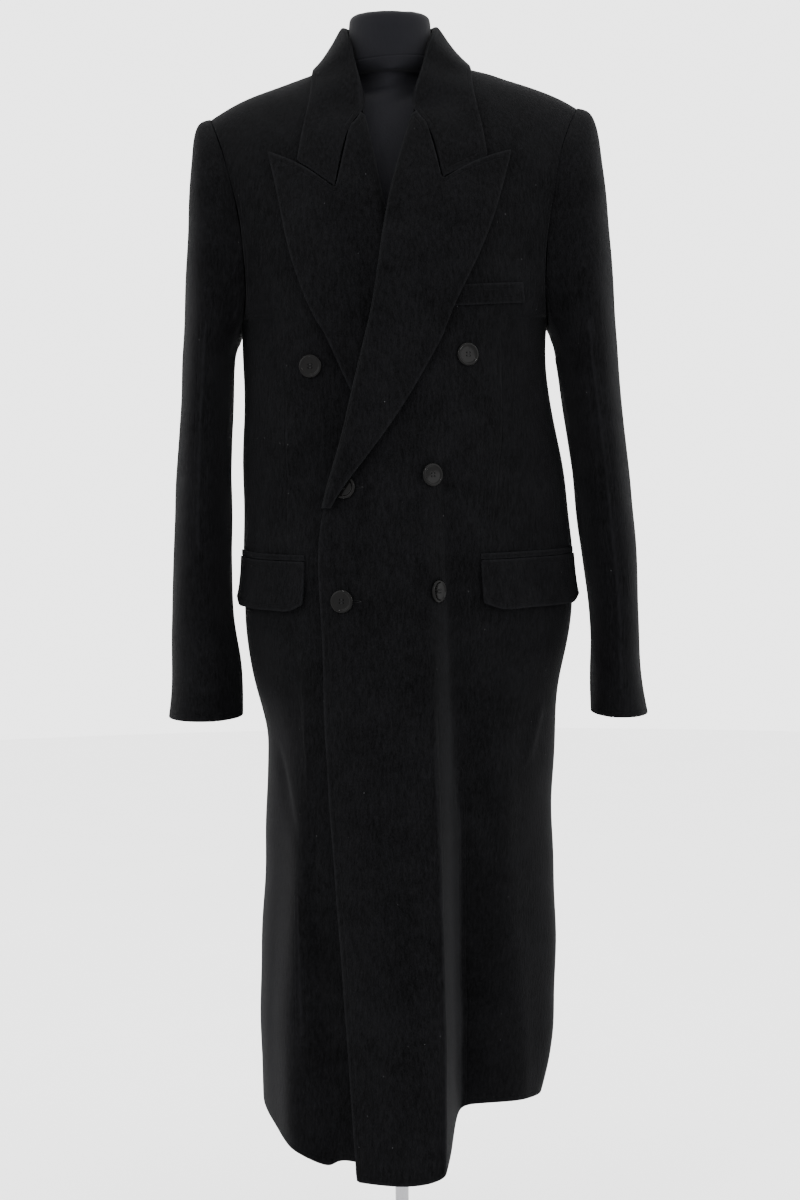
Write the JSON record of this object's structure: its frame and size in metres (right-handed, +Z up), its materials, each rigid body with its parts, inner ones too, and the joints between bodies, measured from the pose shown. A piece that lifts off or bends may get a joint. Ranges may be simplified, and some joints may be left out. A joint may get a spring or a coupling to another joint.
{
  "type": "long double-breasted overcoat on a limbless dress form with a stand",
  "caption": "Long double-breasted wool overcoat with peak lapels and flap pockets, worn open-hollow on a limbless dress form on a round-footed stand.",
  "frame": {"origin": "centre of the underside of the stand's round base, on the floor", "axes": "+Z up, -Y the way the coat faces, +X the wearer's left"},
  "size_m": [0.5607, 0.4365, 1.5283],
  "materials": {
    "black_wool": "brushed wool cloth with a short soft nap",
    "black_jersey": "fine stretch jersey",
    "black_horn": "polished",
    "satin_steel": "satin"
  },
  "bodies": {
    "root": {"front_left": "black_wool", "front_right": "black_wool", "back_left": "black_wool", "back_right": "black_wool", "sleeve_left_upper": "black_wool", "sleeve_left_under": "black_wool", "sleeve_right_upper": "black_wool", "sleeve_right_under": "black_wool", "lapel_left": "black_wool", "lapel_right": "black_wool", "collar_stand": "black_wool", "collar_fall": "black_wool", "pocket_flap_left": "black_wool", "pocket_flap_right": "black_wool", "pocket_jet_left": "black_wool", "pocket_jet_right": "black_wool", "breast_welt": "black_wool", "button_right_top": "black_horn", "button_right_middle": "black_horn", "button_right_bottom": "black_horn", "button_left_top": "black_horn", "button_left_middle": "black_horn", "button_left_bottom": "black_horn", "form_torso": "black_jersey", "form_neck_knob": "black_jersey", "stand_pole": "satin_steel", "stand_base": "satin_steel"}
  },
  "joints": []
}
